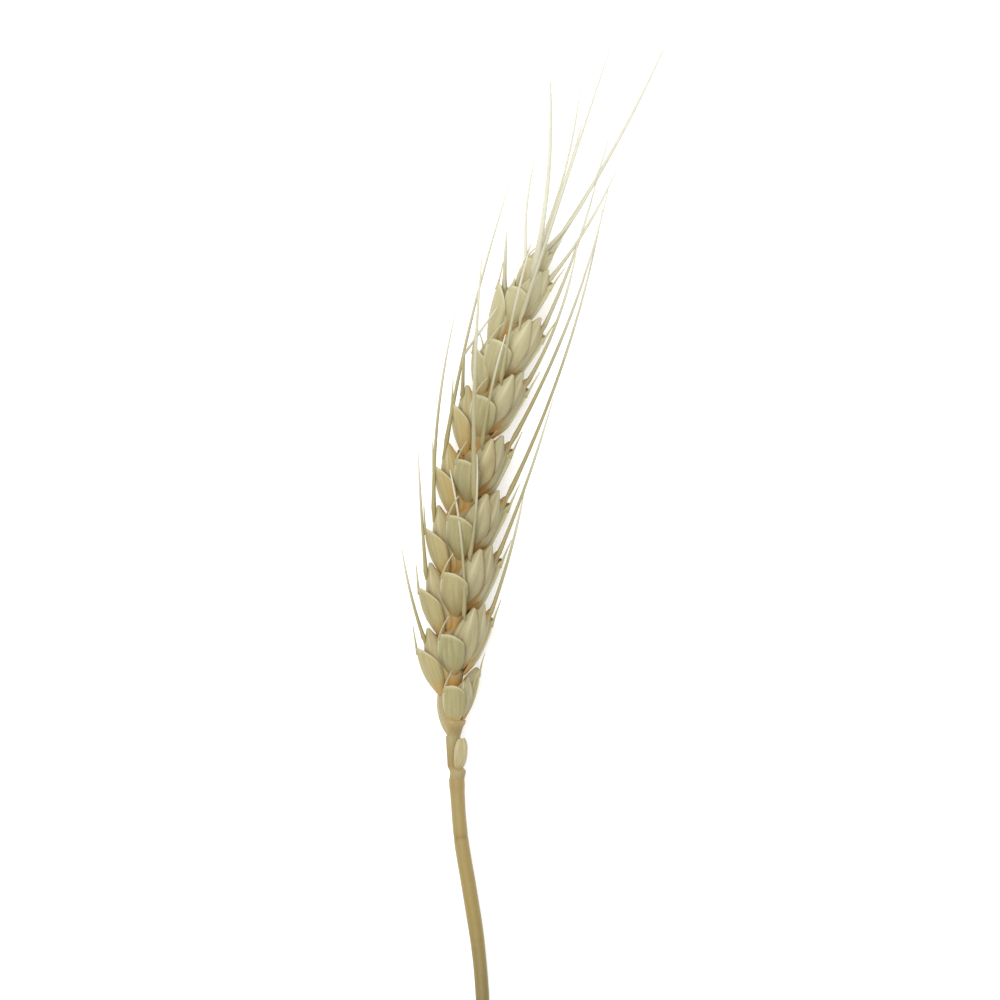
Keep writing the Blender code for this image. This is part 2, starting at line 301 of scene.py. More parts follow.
@dataclass(frozen=True)
class HuskFinish:
    """Dry papery husk: fine veins along it, pale edges and a shade of its own, with a painted glow of
    light through the thin husk at its foot and inside, painted shade in the seams near its edges and a
    golden painted shadow in patches on one side.
    """

    name: str
    cool: Colour
    warm: Colour
    vein_count: float = 9.0
    vein_depth: float = 0.03
    roughness: float = 0.52
    gloss: float = 0.35
    # Painted shade: how strongly and from how far in the husk darkens in streaks near its edges, in the
    # seams where husks overlap.
    seam_shade: float = 0.35
    seam_shade_start: float = 0.45
    grain: float = 0.28
    # foot is the colour of the painted glow: the orange of light shining through the thin husks, laid on
    # their feet and inner skins.
    foot: Colour = srgb(188, 140, 66)
    edge: Colour = srgb(204, 197, 158)
    bruise: Colour = srgb(138, 124, 92)
    # golden: painted shadow on one side of each husk, in patches; on the left rank that side faces the
    # rachis. It is strongest on husks of warm tone.
    golden: Colour = srgb(172, 136, 66)
    # Dark brown of the real specks, and also of the painted shade in the seams.
    speck_and_seam_shade: Colour = srgb(118, 88, 46)

    def material(self) -> bpy.types.Material:
        """Build the material.

        Returns:
            The finished material.
        """
        tree = ShaderTree(self.name)
        along, across, shade = (tree.channel(name) for name in ("along", "across", "shade"))
        lane = tree.vector(across * 5.0, along * 1.3, shade * 40.0)
        streaks = tree.noise(lane, 1.6, 4.0)
        patches = tree.noise(tree.vector(across * 0.8, along * 1.6, shade * 25.0), 1.3, 2.0)
        body = tree.mix((shade * 0.7 + patches * 0.6 - 0.15).clamped(), self.cool, self.warm)
        veins = (across * (math.pi * self.vein_count) + streaks * 2.5).sine() * 0.5 + 0.5
        body = tree.mix((veins ** 3.0) * 0.10 + streaks.rise(0.45, 0.8) * 0.18, body, self.edge)
        body = tree.mix(streaks.rise(0.54, 0.32) * self.grain, body, self.bruise)
        # Painted shadow: golden brown in patches along one side, next to the rachis on the left rank,
        # strongest where the husk's tone is warm.
        golden_shadow_side = across.rise(-0.15, 0.85) * patches.rise(0.28, 0.60)
        body = tree.mix((golden_shadow_side * (shade * 1.6 - 0.85)).clamped(), body, self.golden)
        # Painted shade: darker brown in streaks near the edges, in the seams where husks overlap.
        seam_shade = (across * across).rise(self.seam_shade_start, self.seam_shade_start + 0.15) * streaks.rise(0.36, 0.58)
        body = tree.mix(seam_shade * self.seam_shade, body, self.speck_and_seam_shade)
        specks = tree.noise(tree.vector(across * 7.0, along * 15.0, shade * 31.0), 2.0, 1.0)
        body = tree.mix(specks.rise(0.70, 0.78) * 0.50, body, self.speck_and_seam_shade)
        # Painted glow: the foot colour where light would shine through the thin husk, at its foot, inside
        # and towards some tips.
        body = tree.mix(tree.channel("glow").clamped(), body, self.foot)
        body = tree.mix(tree.channel("pale").clamped(), body, self.edge)
        height = veins * 0.4 + streaks * 0.9
        return tree.finish(body, height, self.vein_depth, self.roughness, self.gloss)


@dataclass(frozen=True)
class BristleFinish:
    """Stiff bristle: straw-coloured at its foot and bleached towards its tip."""

    name: str = "bristle"
    root: Colour = srgb(156, 142, 94)
    middle: Colour = srgb(170, 163, 120)
    tip: Colour = srgb(226, 224, 204)
    grain_depth: float = 0.03
    roughness: float = 0.5
    gloss: float = 0.35

    def material(self) -> bpy.types.Material:
        """Build the material.

        Returns:
            The finished material.
        """
        tree = ShaderTree(self.name)
        along, shade = tree.channel("along"), tree.channel("shade")
        colour = tree.ramp(along, ((0.0, self.root), (0.45, self.middle), (1.0, self.tip)))
        colour = tree.mix(tree.channel("pale").clamped(), colour, self.tip)
        grain = tree.noise(tree.vector(tree.channel("across") * 3.0, along * 30.0, shade * 30.0), 2.0)
        colour = tree.mix(grain.rise(0.5, 0.75) * 0.35, colour, self.root)
        return tree.finish(colour, grain, self.grain_depth, self.roughness, self.gloss)


@dataclass(frozen=True)
class StrawFinish:
    """Smooth golden straw with fine grooves and a soft sheen."""

    name: str = "straw_skin"
    pale: Colour = srgb(160, 140, 88)
    golden: Colour = srgb(150, 131, 75)
    low: Colour = srgb(100, 88, 52)
    brown: Colour = srgb(122, 94, 50)
    groove_depth: float = 0.03
    roughness: float = 0.42
    gloss: float = 0.4

    def material(self) -> bpy.types.Material:
        """Build the material.

        Returns:
            The finished material.
        """
        tree = ShaderTree(self.name)
        along, across = tree.channel("along"), tree.channel("across")
        lane = tree.vector(across * 9.0, along * 5.0, 0.5)
        fibres = tree.noise(lane, 2.0, 4.0)
        colour = tree.ramp(along, ((0.0, self.low), (0.55, self.golden), (1.0, self.pale)))
        colour = tree.mix(fibres.rise(0.42, 0.7) * 0.4, colour, self.pale)
        colour = tree.mix(tree.noise(tree.vector(across, along * 12.0, 3.0), 2.0).rise(0.55, 0.8) * 0.25,
                          colour, self.brown)
        # The glow channel here browns the straw: deep inside its hollow, at the knee and just under the
        # bead.
        colour = tree.mix(tree.channel("glow").clamped(), colour, self.brown)
        colour = tree.mix(tree.channel("pale").clamped(), colour, self.pale)
        return tree.finish(colour, fibres, self.groove_depth, self.roughness, self.gloss)


@dataclass(frozen=True)
class StalkFinish:
    """Rachis: warm tan with painted glow in orange between the spikelets, as of light through the husks,
    and cream at its joints.
    """

    name: str = "rachis_skin"
    tan: Colour = srgb(140, 127, 84)
    orange: Colour = srgb(180, 136, 64)
    cream: Colour = srgb(176, 164, 122)
    groove_depth: float = 0.05
    roughness: float = 0.55
    gloss: float = 0.3

    def material(self) -> bpy.types.Material:
        """Build the material.

        Returns:
            The finished material.
        """
        tree = ShaderTree(self.name)
        along, across = tree.channel("along"), tree.channel("across")
        fibres = tree.noise(tree.vector(across * 8.0, along * 30.0, 0.2), 1.5, 3.0)
        # Painted glow: orange where the rachis shows between the spikelets.
        colour = tree.mix(tree.channel("glow").clamped(), self.tan, self.orange)
        colour = tree.mix(fibres.rise(0.45, 0.75) * 0.35, colour, self.cream)
        colour = tree.mix(tree.channel("pale").clamped(), colour, self.cream)
        return tree.finish(colour, fibres, self.groove_depth, self.roughness, self.gloss)


@dataclass(frozen=True)
class FloorFinish:
    """Plain matt white surface that glows a little, as over a light box, so shadows stay faint."""

    name: str = "pale_surface"
    white: Colour = (0.92, 0.92, 0.92, 1.0)
    glow: float = 0.40
    roughness: float = 0.9
    gloss: float = 0.1

    def material(self) -> bpy.types.Material:
        """Build the material.

        Returns:
            The finished material.
        """
        tree = ShaderTree(self.name)
        tree.surface.inputs["Base Color"].default_value = self.white
        tree.surface.inputs["Roughness"].default_value = self.roughness
        tree.surface.inputs["Specular IOR Level"].default_value = self.gloss
        tree.surface.inputs["Emission Color"].default_value = self.white
        tree.surface.inputs["Emission Strength"].default_value = self.glow
        return tree.material


CHANNELS = ("along", "across", "shade", "glow", "pale")


@dataclass
class Surface:
    """Points of one surface in rows, with the values that its finish reads in each row and column."""

    points: Array
    along: Array
    across: Array
    shade: float
    glow: Array | float
    pale: Array | float


class MeshMaker:
    """Collects closed surfaces in one mesh."""

    SHARP_ANGLE = math.radians(60.0)

    def __init__(self, name: str) -> None:
        """Start an empty mesh.

        Args:
            name: name of the object that it becomes.
        """
        self.name = name
        self.points: list[Array] = []
        self.faces: list[tuple[int, ...]] = []
        self.values: dict[str, list[Array]] = {channel: [] for channel in CHANNELS}
        self.count = 0

    def _wall(self, surface: Surface) -> tuple[tuple[int, bool], ...]:
        """Add closed rings and their wall; return both end rings' first points and ways of facing.

        Args:
            surface: rings of points.

        Returns:
            The first point of each end ring, and whether that end faces along the rows.
        """
        rows, columns = surface.points.shape[:2]
        self.points.append(surface.points.reshape(-1, 3))
        for channel in CHANNELS:
            value = np.broadcast_to(getattr(surface, channel), (rows, columns))
            self.values[channel].append(value.reshape(-1).copy())
        first = self.count
        self.count += rows * columns
        for low in range(first, first + (rows - 1) * columns, columns):
            for column in range(columns):
                following = (column + 1) % columns
                high = low + columns
                self.faces.append((low + column, low + following, high + following, high + column))
        return (first, False), (first + (rows - 1) * columns, True)

    def tube(self, surface: Surface) -> None:
        """Close the rings at both ends with one face each.

        Args:
            surface: rings of points.
        """
        columns = surface.points.shape[1]
        for start, outward in self._wall(surface):
            ring = tuple(range(start, start + columns))
            self.faces.append(ring if outward else ring[::-1])

    def shell(self, surface: Surface) -> None:
        """Close rings whose second half is the inner skin, in the opposite order, with thin edges.

        Args:
            surface: rings of points.
        """
        columns = surface.points.shape[1]
        for start, outward in self._wall(surface):
            for column in range(columns // 2 - 1):
                strip = (start + column, start + column + 1, start + columns - 2 - column,
                         start + columns - 1 - column)
                self.faces.append(strip if outward else strip[::-1])

    def bleach(self, low: float, high: float, most: float) -> None:
        """Pale the surfaces evenly from height `low` up to `most` at height `high`.

        Args:
            low: height in millimetres where the paling begins.
            high: height where it is complete.
            most: paleness there.
        """
        for points, pale in zip(self.points, self.values["pale"]):
            pale += most * np.clip((points[:, 1] - low) / (high - low), 0.0, 1.0)

    def build(self, finish: object, slot: str, node: str) -> None:
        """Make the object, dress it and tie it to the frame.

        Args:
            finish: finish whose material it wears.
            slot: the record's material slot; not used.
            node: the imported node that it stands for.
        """
        places = (np.concatenate(self.points) + VIEW_MIDDLE) * MM
        mesh = bpy.data.meshes.new(self.name)
        mesh.from_pydata(places.tolist(), [], self.faces)
        for channel in CHANNELS:
            values = np.concatenate(self.values[channel]).astype(np.float32)
            mesh.attributes.new(channel, "FLOAT", "POINT").data.foreach_set("value", values)
        mesh.polygons.foreach_set("use_smooth", np.ones(len(mesh.polygons), dtype=bool))
        mesh.set_sharp_from_angle(angle=self.SHARP_ANGLE)
        mesh.materials.append(finish.material())
        made = bpy.data.objects.new(self.name, mesh)
        bpy.context.scene.collection.objects.link(made)
        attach(made, BODY)
        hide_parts(node)
        logging.info("%s: %d points, %d faces", self.name, len(places), len(self.faces))


@dataclass(frozen=True)
class Lie:
    """How the spikelets of one rank stand on the rachis; turns are in degrees.

    `turn` goes from the right hand towards the top. Spreads are shares of the spikelet's own, rises
    lengthen a husk upwards, and sides are sideways offsets; both are in millimetres. Glows are the
    painted glow at the husks' feet, orange as of light through the thin husks; `belly` widens the under
    husks there as a share of their half width, and `shoulder_rise` lifts the broad side of a glume's
    top as a share of its length.
    """

    turn: float
    beak_lean: float
    glume_foot_out: float
    glume_rise: float
    floret_turn: float
    floret_spread: float
    floret_rise: float
    floret_foot_side: float
    floret_side: float
    root_spread: float
    middle_reach: float
    middle_side: float
    under_glume_spread: float
    under_glume_rise: float
    under_glume_back: float
    bract_turn: float
    foot_glow: float
    under_glow: float
    under_root_spread: float
    belly: float
    shoulder_rise: float


class Rank(Enum):
    """The two ranks of spikelets."""

    RIGHT = Lie(turn=46.0, beak_lean=0.85, glume_foot_out=0.8, glume_rise=0.0, floret_turn=38.0,
                floret_spread=1.10, floret_rise=0.0, floret_foot_side=0.0, floret_side=1.2,
                root_spread=1.10, middle_reach=1.0, middle_side=-0.7, under_glume_spread=0.95,
                under_glume_rise=3.2, under_glume_back=1.75, bract_turn=90.0, foot_glow=0.30,
                under_glow=0.85, under_root_spread=1.10, belly=0.30, shoulder_rise=0.16)
    LEFT = Lie(turn=212.0, beak_lean=0.15, glume_foot_out=1.9, glume_rise=1.3, floret_turn=6.0,
               floret_spread=0.80, floret_rise=0.8, floret_foot_side=0.5, floret_side=2.9,
               root_spread=1.06, middle_reach=0.80, middle_side=0.2, under_glume_spread=1.0,
               under_glume_rise=0.0, under_glume_back=1.25, bract_turn=35.0, foot_glow=0.55,
               under_glow=0.45, under_root_spread=0.96, belly=0.0, shoulder_rise=0.0)


@dataclass(frozen=True)
class Bristle:
    """One bristle: its tip, its bow to the right, its bend, girth and paleness, and its root's depth."""

    tip: tuple[float, float, float]
    bow: float = 0.0
    kink: tuple[float, float, float] | None = None
    girth: float = 1.0
    pale: float = 0.0
    sunk: float = 0.22


@dataclass(frozen=True)
class Plan:
    """One spikelet: its rank, the height of its foot, its size, spread, bristles and husks.

    `florets` and `glumes` are the lengths of its husks and `slim` their width, as shares of the
    usual. `twist` turns it about the rachis in degrees, and `glume_shift` moves the foot of its
    upper glume by (right, up) millimetres.
    """

    rank: Rank
    foot_y: float
    size: float
    spread: float = 1.0
    upper: Bristle | None = None
    under: Bristle | None = None
    florets: float = 1.0
    glumes: float = 1.0
    twist: float = 0.0
    slim: float = 1.0
    glume_shift: tuple[float, float] = (0.0, 0.0)

    LEAN_UNTIL = -36.0
    FULL_AFTER = 20.0
    STERILE_BELOW = -37.0

    @property
    def fullness(self) -> float:
        """Share of the full belly that its under husks have: none at the ear's base."""
        return min(1.0, max(0.0, (self.foot_y - self.LEAN_UNTIL) / self.FULL_AFTER))

    @property
    def sterile(self) -> bool:
        """True for the small bracts at the ear's base, which hold no florets."""
        return self.foot_y < self.STERILE_BELOW


R, L = Rank.RIGHT, Rank.LEFT
PLANS = (
    Plan(R, -43.4, 0.80),
    Plan(L, -37.8, 1.08, 1.00),
    Plan(R, -35.4, 0.80, 0.80, None, None, 0.78, 1.16, -12.0),
    Plan(L, -30.6, 0.98, 0.92, Bristle((-15.7, -7.7, 8.0), -0.4),
         Bristle((-4.6, 7.0, 0.6), -0.5), 0.94),
    Plan(R, -27.4, 0.97, 1.08, Bristle((-8.0, 4.8, 12.4), 0.8), Bristle((4.0, 1.9, 7.5), 0.5), 1.04),
    Plan(L, -21.4, 1.02, 1.00, Bristle((-13.1, 7.5, 7.5), -0.1),
         Bristle((-1.6, 19.0, 0.6), -0.5), 1.03),
    Plan(R, -18.0, 1.00, 1.08, Bristle((-3.7, 7.2, 12.8), 0.5), Bristle((8.5, 16.3, 8.5), 0.5)),
    Plan(L, -12.2, 1.02, 1.00, Bristle((-7.2, 29.6, 9.0), -1.1), Bristle((2.6, 31.0, 0.6), -0.5)),
    Plan(R, -9.0, 1.00, 1.10, Bristle((-2.9, 38.4, 21.0), -0.6, None, 1.3, 0.2),
         Bristle((16.4, 46.4, 8.0), 1.85), 0.98),
    Plan(L, -2.4, 1.02, 0.96, Bristle((1.6, 50.7, 10.0), -0.9), Bristle((8.2, 43.5, 0.8), -0.5)),
    Plan(R, 0.2, 1.02, 1.00, Bristle((0.9, 26.4, 12.6), -0.4), Bristle((17.3, 49.6, 9.5), 1.75)),
    Plan(L, 7.4, 1.02, 0.80, Bristle((-0.5, 30.7, 9.0), 0.0, (-5.8, 23.2, 8.6)),
         Bristle((9.8, 49.0, 1.2), 0.3), 0.95),
    Plan(R, 10.6, 1.00, 1.02, Bristle((5.0, 41.0, 13.4), -0.4), Bristle((12.3, 40.3, 7.5), 1.2), 1.05),
    Plan(L, 16.6, 0.94, 0.66, Bristle((-3.6, 27.4, 8.0), 0.2, None, 0.5, 0.6),
         Bristle((11.9, 55.5, 2.0), 0.8), 0.82),
    Plan(R, 19.4, 0.98, 1.00, Bristle((17.6, 72.2, 13.0), 0.0),
         Bristle((15.5, 51.2, 6.0), 0.7), 1.06),
    Plan(L, 25.2, 0.92, 0.52, Bristle((1.1, 42.9, 8.0), -0.1, None, 1.3, 0.0, 0.06),
         Bristle((12.8, 65.6, 3.5), 1.8), 0.86, 1.28, 0.0, 0.80, (-1.3, -1.0)),
    Plan(R, 28.4, 0.94, 0.66, Bristle((8.0, 66.4, 21.0), 1.1, None, 1.6, 0.5),
         Bristle((18.6, 52.8, 6.5), 0.8)),
    Plan(L, 32.0, 0.88, 0.10, Bristle((5.6, 54.4, 7.5), -0.9, None, 1.0, 0.8, 0.55),
         Bristle((13.2, 60.4, 4.0), 0.4), 0.90, 0.85),
    Plan(R, 33.8, 0.78, 0.30, Bristle((17.3, 57.6, 10.0), 1.7),
         Bristle((26.1, 72.0, 6.5), 1.0, None, 1.35, 0.0, 0.72), 0.92, 1.0, 0.0, 0.92),
)


@dataclass(frozen=True)
class EarAxis:
    """The line of the straw and the rachis, from the cut end to the tip of the ear."""

    cut_end: float = -90.0
    collar: float = -44.6
    height: float = 5.55
    bends: tuple = ((-2.55, -90.0, 1.07), (-2.80, -80.0, 1.50), (-3.52, -71.5, 2.12),
                    (-4.88, -62.5, 2.95), (-6.28, -53.8, 4.00), (-6.95, -44.6, 4.95),
                    (-7.25, -38.0, 5.50))
    ear: tuple = ((-7.50, -31.5), (-7.45, -25.5), (-7.10, -19.0), (-6.45, -12.0), (-5.65, -4.8),
                  (-4.55, 3.2), (-3.00, 11.2), (-0.95, 19.2), (1.40, 27.2), (3.90, 33.6),
                  (6.10, 39.2), (7.20, 42.4))
    reach: float = 0.5

    def _points(self) -> Array:
        """All points of the line."""
        return np.array(self.bends + tuple((x, y, self.height) for x, y in self.ear))

    def place(self, y: float) -> Array:
        """Point of the smooth line at height `y`.

        Args:
            y: height in millimetres.

        Returns:
            The point.
        """
        points = self._points()
        last = len(points) - 2
        index = next((i for i in range(last) if y < points[i + 1][1]), last)
        low, high = points[index], points[index + 1]
        before = points[index - 1] if index else low * 2.0 - high
        after = points[index + 2] if index < last else high * 2.0 - low
        span = high[1] - low[1]
        share = (y - low[1]) / span
        slope_low = (high - before) / (high[1] - before[1]) * span
        slope_high = (after - low) / (after[1] - low[1]) * span
        cube, square = share ** 3, share ** 2
        return (low * (2.0 * cube - 3.0 * square + 1.0) + slope_low * (cube - 2.0 * square + share)
                + high * (3.0 * square - 2.0 * cube) + slope_high * (cube - square))

    def at(self, y: float) -> tuple[Array, Array, Array]:
        """Place at height `y`, with the direction of the line and its rightward direction.

        Args:
            y: height in millimetres.

        Returns:
            The point and the two directions, of length one.
        """
        along = unit(self.place(y + self.reach) - self.place(y - self.reach))
        return self.place(y), along, unit(np.cross(along, UP))


AXIS = EarAxis()


class Foot:
    """Where a spikelet stands on the rachis, with the directions that its pieces are laid out in."""

    TURN_SCATTER = math.radians(3.5)
    SIZE_SCATTER = 0.04

    def __init__(self, plan: Plan, scatter: random.Random) -> None:
        """Find the spikelet's place, size and directions.

        Args:
            plan: the spikelet's plan.
            scatter: source of the small differences in turn and size.
        """
        self.plan = plan
        self.middle, self.along, right = AXIS.at(plan.foot_y)
        above = np.cross(right, self.along)
        turn = math.radians(plan.rank.value.turn + plan.twist)
        turn += scatter.uniform(-self.TURN_SCATTER, self.TURN_SCATTER)
        self.size = plan.size * (1.0 + scatter.uniform(-self.SIZE_SCATTER, self.SIZE_SCATTER))
        self.out = right * math.cos(turn) + above * math.sin(turn)
        side = np.cross(self.along, self.out)
        self.upper_side = side if side[2] > 0.0 else -side

    def place(self, offset: tuple, flip: float = 1.0, spread: float = 1.0) -> Array:
        """Point at an offset of (up the ear, out, sideways) from the foot.

        Args:
            offset: millimetres at full size.
            flip: 1 for the upper side, -1 for the under one.
            spread: share of the spikelet's own spread.

        Returns:
            The point.
        """
        up, out, sideways = offset
        fan = self.out * out + self.upper_side * sideways * flip
        return self.middle + (self.along * up + fan * self.plan.spread * spread) * self.size

    def facing(self, turn: float, flip: float) -> Array:
        """Direction that a husk's back faces: sideways, turned outwards by `turn` degrees.

        Args:
            turn: degrees.
            flip: 1 for the upper side, -1 for the under one.

        Returns:
            The direction.
        """
        angle = math.radians(turn)
        return self.upper_side * flip * math.cos(angle) + self.out * math.sin(angle)


@dataclass(frozen=True)
class Form:
    """Shape that husks of one kind share, in millimetres at full size.

    `stations` are (place along the husk, share of its full width). `wrap` is the angle by which each
    edge curls on past a half circle, and `bow` lifts the husk's middle.
    """

    half_width: float
    back: float
    front: float
    stations: tuple
    wrap: float
    bow: float
    thickness: float

    def sized(self, size: float, slim: float = 1.0) -> "Form":
        """The form at a spikelet's size."""
        return replace(self, half_width=self.half_width * size * slim, back=self.back * size,
                       front=self.front * size)


GLUME_STATIONS = ((-0.05, 0.22), (0.0, 0.34), (0.14, 0.66), (0.30, 0.90), (0.50, 1.0), (0.70, 0.98),
                  (0.84, 0.84), (0.93, 0.66), (1.05, 0.3))
LEMMA_STATIONS = ((-0.05, 0.26), (0.05, 0.48), (0.25, 0.86), (0.44, 1.0), (0.60, 0.93), (0.76, 0.68),
                  (0.90, 0.34), (1.0, 0.10), (1.05, 0.03))
GLUME = Form(half_width=2.3, back=1.25, front=0.75, stations=GLUME_STATIONS, wrap=0.30, bow=0.0,
             thickness=0.24)
BRACT = Form(half_width=1.9, back=1.1, front=0.6, stations=GLUME_STATIONS, wrap=0.5, bow=0.1,
             thickness=0.22)
LEMMA = Form(half_width=2.25, back=1.6, front=1.2, stations=LEMMA_STATIONS, wrap=0.95, bow=0.12,
             thickness=0.16)


@dataclass
class Husk:
    """Boat-shaped husk: a thin shell from its foot to its tip, swelling towards its back."""

    foot: Array
    tip: Array
    back_way: Array
    form: Form
    own: tuple[float, int]
    keel: float | None = None
    # Glows are painted glow, the orange of light through the thin husk: at its foot, on its inner skin and
    # towards its tip.
    foot_glow: float = 0.45
    tip_glow: float = 0.0
    inner_glow: float = 0.8
    # Painted light that pales the inner skin where it lies in shade.
    inner_painted_light: float = 0.0
    belly: float = 0.0
    shoulder_rise: float = 0.16
    rows: int = 24
    columns: int = 21

    BELLY_PLACE = 0.24
    BELLY_LENGTH = 0.20
    EVENING = 0.045
    KEEL_HEIGHT = 0.26
    KEEL_WIDTH = 0.13
    KEEL_COLUMNS = (-0.09, -0.045, 0.0, 0.045, 0.09)
    KEEL_CLEAR = 0.12
    ROUND_DROP = 0.05
    SHOULDER_FOOT = 0.88
    BROAD_DROP = 0.44
    NARROW_DROP = 0.26
    RIPPLES = 3
    RIPPLE_DEPTH = 0.022
    LEAST_WIDTH = 0.02
    EDGE_THINNING = 0.6
    GLOW_END = 0.36
    TIP_START = 0.84
    RIM_START = 0.86
    RIM_PALE = 0.75
    RIB_WIDTH = 0.06
    RIB_PALE = 0.6
    TOP_START = 0.93
    TOP_PALE = 0.8
    INSIDE_DULLING = 0.6
    NEAR_PLACES = np.linspace(0.45, 0.95, 26)
    NEAR_ACROSS = np.linspace(-0.7, 0.7, 29)

    def __post_init__(self) -> None:
        """Work out the husk's line and the directions across it."""
        self.shade, self.wrinkle_seed = self.own
        self.line = self.tip - self.foot
        self.side = unit(np.cross(self.line, self.back_way))
        self.out = unit(np.cross(self.side, self.line))

    def fullness(self, places: Array) -> Array:
        """Share of the full width at places along the husk.

        Args:
            places: places from 0 at the foot to 1 at the tip.

        Returns:
            The shares.
        """
        heights, widths = zip(*self.form.stations)
        dense = np.interp(places, heights, widths)
        evened = (dense * 2.0 + np.interp(places - self.EVENING, heights, widths)
                  + np.interp(places + self.EVENING, heights, widths)) / 4.0
        return evened + self.belly * np.exp(-((places - self.BELLY_PLACE) / self.BELLY_LENGTH) ** 2)

    def _columns(self) -> Array:
        """Places across the husk, closer together at its keel.

        Returns:
            Places from -1 at one edge to 1 at the other.
        """
        even = np.linspace(-1.0, 1.0, self.columns)
        if self.keel is None:
            return even
        near = self.keel + np.array(self.KEEL_COLUMNS)
        far = even[np.abs(even - self.keel) > self.KEEL_CLEAR]
        return np.sort(np.concatenate((far, near)))

    def top_edge(self, across: Array) -> Array:
        """How far up the line each column runs: round, or with a shoulder beside a keel.

        Args:
            across: places across the husk.

        Returns:
            Share of the line's length.
        """
        if self.keel is None:
            return 1.0 - self.ROUND_DROP * np.abs(across) ** 3
        broad = np.clip((across - self.keel) * -np.sign(self.keel), 0.0, None) / (1.0 + abs(self.keel))
        narrow = np.clip((across - self.keel) * np.sign(self.keel), 0.0, None) / (1.0 - abs(self.keel))
        return (self.SHOULDER_FOOT + self.shoulder_rise * broad - self.BROAD_DROP * broad ** 3
                - self.NARROW_DROP * narrow ** 1.8)

    def _skin(self, across: Array, place: Array, inset: float) -> Array:
        """Points of the outer skin, or of one lying `inset` inside it.

        Args:
            across: places across the husk.
            place: places along it.
            inset: distance inside the outer skin.

        Returns:
            The points.
        """
        form = self.form
        angle = math.pi / 2.0 - across * (math.pi / 2.0 + form.wrap)
        full = self.fullness(place)
        generator = random.Random(self.wrinkle_seed)
        ripple = sum(np.sin(across * generator.uniform(4.0, 11.0) + place * generator.uniform(2.0, 7.0)
                            + generator.uniform(0.0, 6.0)) for _ in range(self.RIPPLES))
        ripple = ripple * self.RIPPLE_DEPTH
        ridge = np.zeros_like(place)
        if self.keel is not None:
            rise = smooth_step(place, 0.05, 0.45)
            ridge = self.KEEL_HEIGHT * np.exp(-np.abs(across - self.keel) / self.KEEL_WIDTH) * rise
        width = form.half_width * full - inset
        depth = np.where(np.sin(angle) > 0.0, form.back * full - inset, form.front * full - inset)
        swell = 1.0 + (ripple + ridge) / np.maximum(width, 0.2)
        width = np.maximum(width, self.LEAST_WIDTH) * swell
        depth = np.maximum(depth, self.LEAST_WIDTH) * swell
        lift = form.bow * np.sin(math.pi * np.clip(place, 0.0, 1.0))
        middle = self.foot + self.line * place[..., None] + self.out * lift[..., None]
        points = oval(middle, self.side, self.out, width, depth, angle)
        points[..., 2] = np.maximum(points[..., 2], FLOOR_GAP + inset * 0.3)
        return points

    def surface(self) -> Surface:
        """The husk as a closed thin shell.

        Returns:
            The shell's rings, each over the back and back along the inner skin.
        """
        columns = self._columns()
        steps = np.linspace(0.0, 1.0, self.rows)[:, None]
        place = steps * self.top_edge(columns)[None, :]
        across = np.broadcast_to(columns, place.shape)
        edge = 1.0 - smooth_step(np.abs(across), 0.7, 1.0) * self.EDGE_THINNING
        inset = self.form.thickness * (1.0 - 0.5 * smooth_step(place, 0.5, 1.0)) * edge
        outer = self._skin(across, place, 0.0)
        inner = self._skin(across, place, inset)
        points = np.concatenate((outer, inner[:, ::-1]), axis=1)
        both = np.concatenate((across, across[:, ::-1]), axis=1)
        places = np.concatenate((place, place[:, ::-1]), axis=1)
        inside = np.concatenate((np.zeros_like(place), np.ones_like(place)), axis=1)
        # Painted glow: at the foot, on the inner skin and towards the tip, as of light through the thin
        # husk.
        glow = (1.0 - smooth_step(places, 0.0, self.GLOW_END)) * self.foot_glow + inside * self.inner_glow
        glow = glow + smooth_step(places, self.TIP_START, 1.0) * self.tip_glow
        rim = smooth_step(np.abs(both), self.RIM_START, 1.0) * self.RIM_PALE
        if self.keel is None:
            rim = np.maximum(rim, np.exp(-(both / self.RIB_WIDTH) ** 2)
                             * smooth_step(places, 0.3, 0.9) * self.RIB_PALE)
        else:
            rim = np.maximum(rim, np.exp(-((both - self.keel) / self.RIB_WIDTH) ** 2)
                             * smooth_step(places, 0.1, 0.5))
            top = smooth_step(np.broadcast_to(steps, places.shape), self.TOP_START, 1.0)
            rim = np.maximum(rim, top * self.TOP_PALE)
        # Painted light pales the inner skin of the lowest under glumes, lifting its shade.
        pale = rim * (1.0 - inside * self.INSIDE_DULLING) + inside * self.inner_painted_light
        return Surface(points, places, both, self.shade, glow, pale)

    def point(self, across: float, place: float) -> Array:
        """One point of the outer skin."""
        return self._skin(np.array([[across]]), np.array([[place]]), 0.0)[0, 0]

    def nearest(self, target: Array) -> Array:
        """The point of the outer skin's upper half that lies nearest to `target`.

        Args:
            target: a point near the husk.

        Returns:
            The point of the skin.
        """
        place, across = np.meshgrid(self.NEAR_PLACES, self.NEAR_ACROSS)
        skin = self._skin(across, place, 0.0).reshape(-1, 3)
        return skin[np.argmin(np.linalg.norm(skin - target, axis=1))]


@dataclass(frozen=True)
class Thread:
    """A tapering bristle or beak along points, as smooth tube."""

    path: Array
    girths: Array
    sides: int
    shade: float
    pale: float

    def surface(self) -> Surface:
        """The bristle's rings.

        Returns:
            The rings from root to tip.
        """
        ahead = np.vstack((self.path[1:], self.path[-1:]))
        behind = np.vstack((self.path[:1], self.path[:-1]))
        ways = ahead - behind
        ways /= np.linalg.norm(ways, axis=1)[:, None]
        sideways = np.cross(ways, UP)
        sideways /= np.linalg.norm(sideways, axis=1)[:, None]
        above = np.cross(sideways, ways)
        angles, girths = turns(self.sides), self.girths[:, None]
        rings = oval(self.path[:, None], sideways[:, None], above[:, None], girths, girths, angles)
        rings[..., 2] = np.maximum(rings[..., 2], FLOOR_GAP)
        share = np.linspace(0.0, 1.0, len(self.path))[:, None]
        return Surface(rings, share, np.cos(angles), self.shade, 0.0, self.pale * share ** 0.5)


